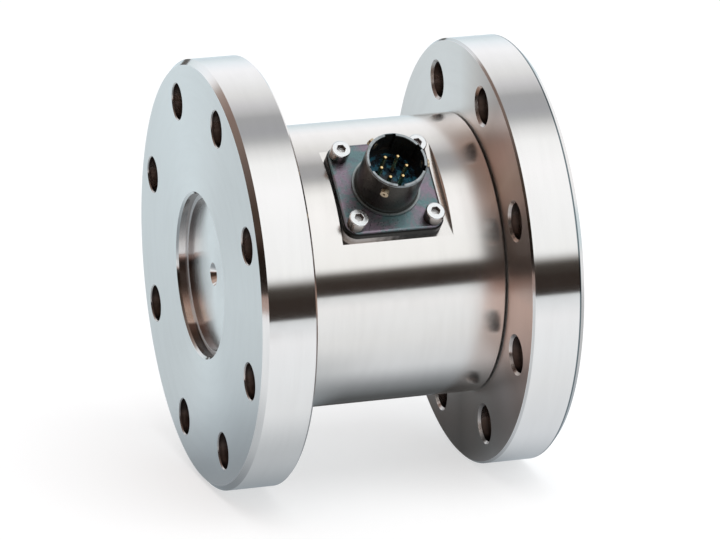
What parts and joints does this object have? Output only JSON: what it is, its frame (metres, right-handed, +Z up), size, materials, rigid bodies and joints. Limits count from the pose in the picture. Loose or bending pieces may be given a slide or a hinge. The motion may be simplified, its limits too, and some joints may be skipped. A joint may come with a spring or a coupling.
{
  "type": "static torque sensor",
  "caption": "Flange-to-flange static torque sensor: drilled end flanges on a torsion shaft, a cover sleeve between them and a bayonet connector on a milled flat.",
  "frame": {"origin": "centre of the near flange's outer face, where the torque axis leaves it", "axes": "+X along the torque axis from the near flange to the far flange, +Z up, with the connector leaning 45 degrees from straight up towards -Y, as the picture shows it"},
  "size_m": [0.0764, 0.1, 0.1],
  "materials": {
    "ground_steel": "fine-turned and plated, bright satin",
    "screw_steel": "bright stainless steel",
    "black_plate": "black plating with a faint teal and purple sheen",
    "insulator": "dark moulded insulator",
    "gold_contact": "gold-plated",
    "plain_brass": "bare brass",
    "seal_rubber": "black rubber",
    "gauge_foil": "amber film with metal foil",
    "circuit_board": "green solder resist",
    "chip_body": "black ceramic chip",
    "wire_sleeve": "insulated wire"
  },
  "bodies": {
    "root": {"bayonet_pin_1": "plain_brass", "bayonet_pin_2": "plain_brass", "bayonet_pin_3": "plain_brass", "board_screw_1": "screw_steel", "board_screw_2": "screw_steel", "board_screw_3": "screw_steel", "board_standoff_1": "plain_brass", "board_standoff_2": "plain_brass", "board_standoff_3": "plain_brass", "bridge_board": "circuit_board", "connector_gasket": "seal_rubber", "connector_insert": "insulator", "connector_screw_1": "screw_steel", "connector_screw_2": "screw_steel", "connector_screw_3": "screw_steel", "connector_screw_4": "screw_steel", "connector_shell": "black_plate", "contact_pin_1": "gold_contact", "contact_pin_2": "gold_contact", "contact_pin_3": "gold_contact", "contact_pin_4": "gold_contact", "contact_pin_5": "gold_contact", "contact_pin_6": "gold_contact", "cover_sleeve": "ground_steel", "far_seal": "seal_rubber", "gauge_ribbon_1": "gauge_foil", "gauge_ribbon_2": "gauge_foil", "gauge_ribbon_3": "gauge_foil", "gauge_ribbon_4": "gauge_foil", "lock_washer_1": "screw_steel", "lock_washer_2": "screw_steel", "lock_washer_3": "screw_steel", "lock_washer_4": "screw_steel", "near_flange": "ground_steel", "near_seal": "seal_rubber", "signal_lead_1": "wire_sleeve", "signal_lead_2": "wire_sleeve", "signal_lead_3": "wire_sleeve", "signal_lead_4": "wire_sleeve", "signal_lead_5": "wire_sleeve", "signal_lead_6": "wire_sleeve", "strain_gauge_1": "gauge_foil", "strain_gauge_2": "gauge_foil", "strain_gauge_3": "gauge_foil", "strain_gauge_4": "gauge_foil", "torsion_shaft": "ground_steel", "trim_resistor_1": "chip_body", "trim_resistor_2": "chip_body", "trim_resistor_3": "chip_body", "trim_resistor_4": "chip_body"}
  },
  "joints": []
}
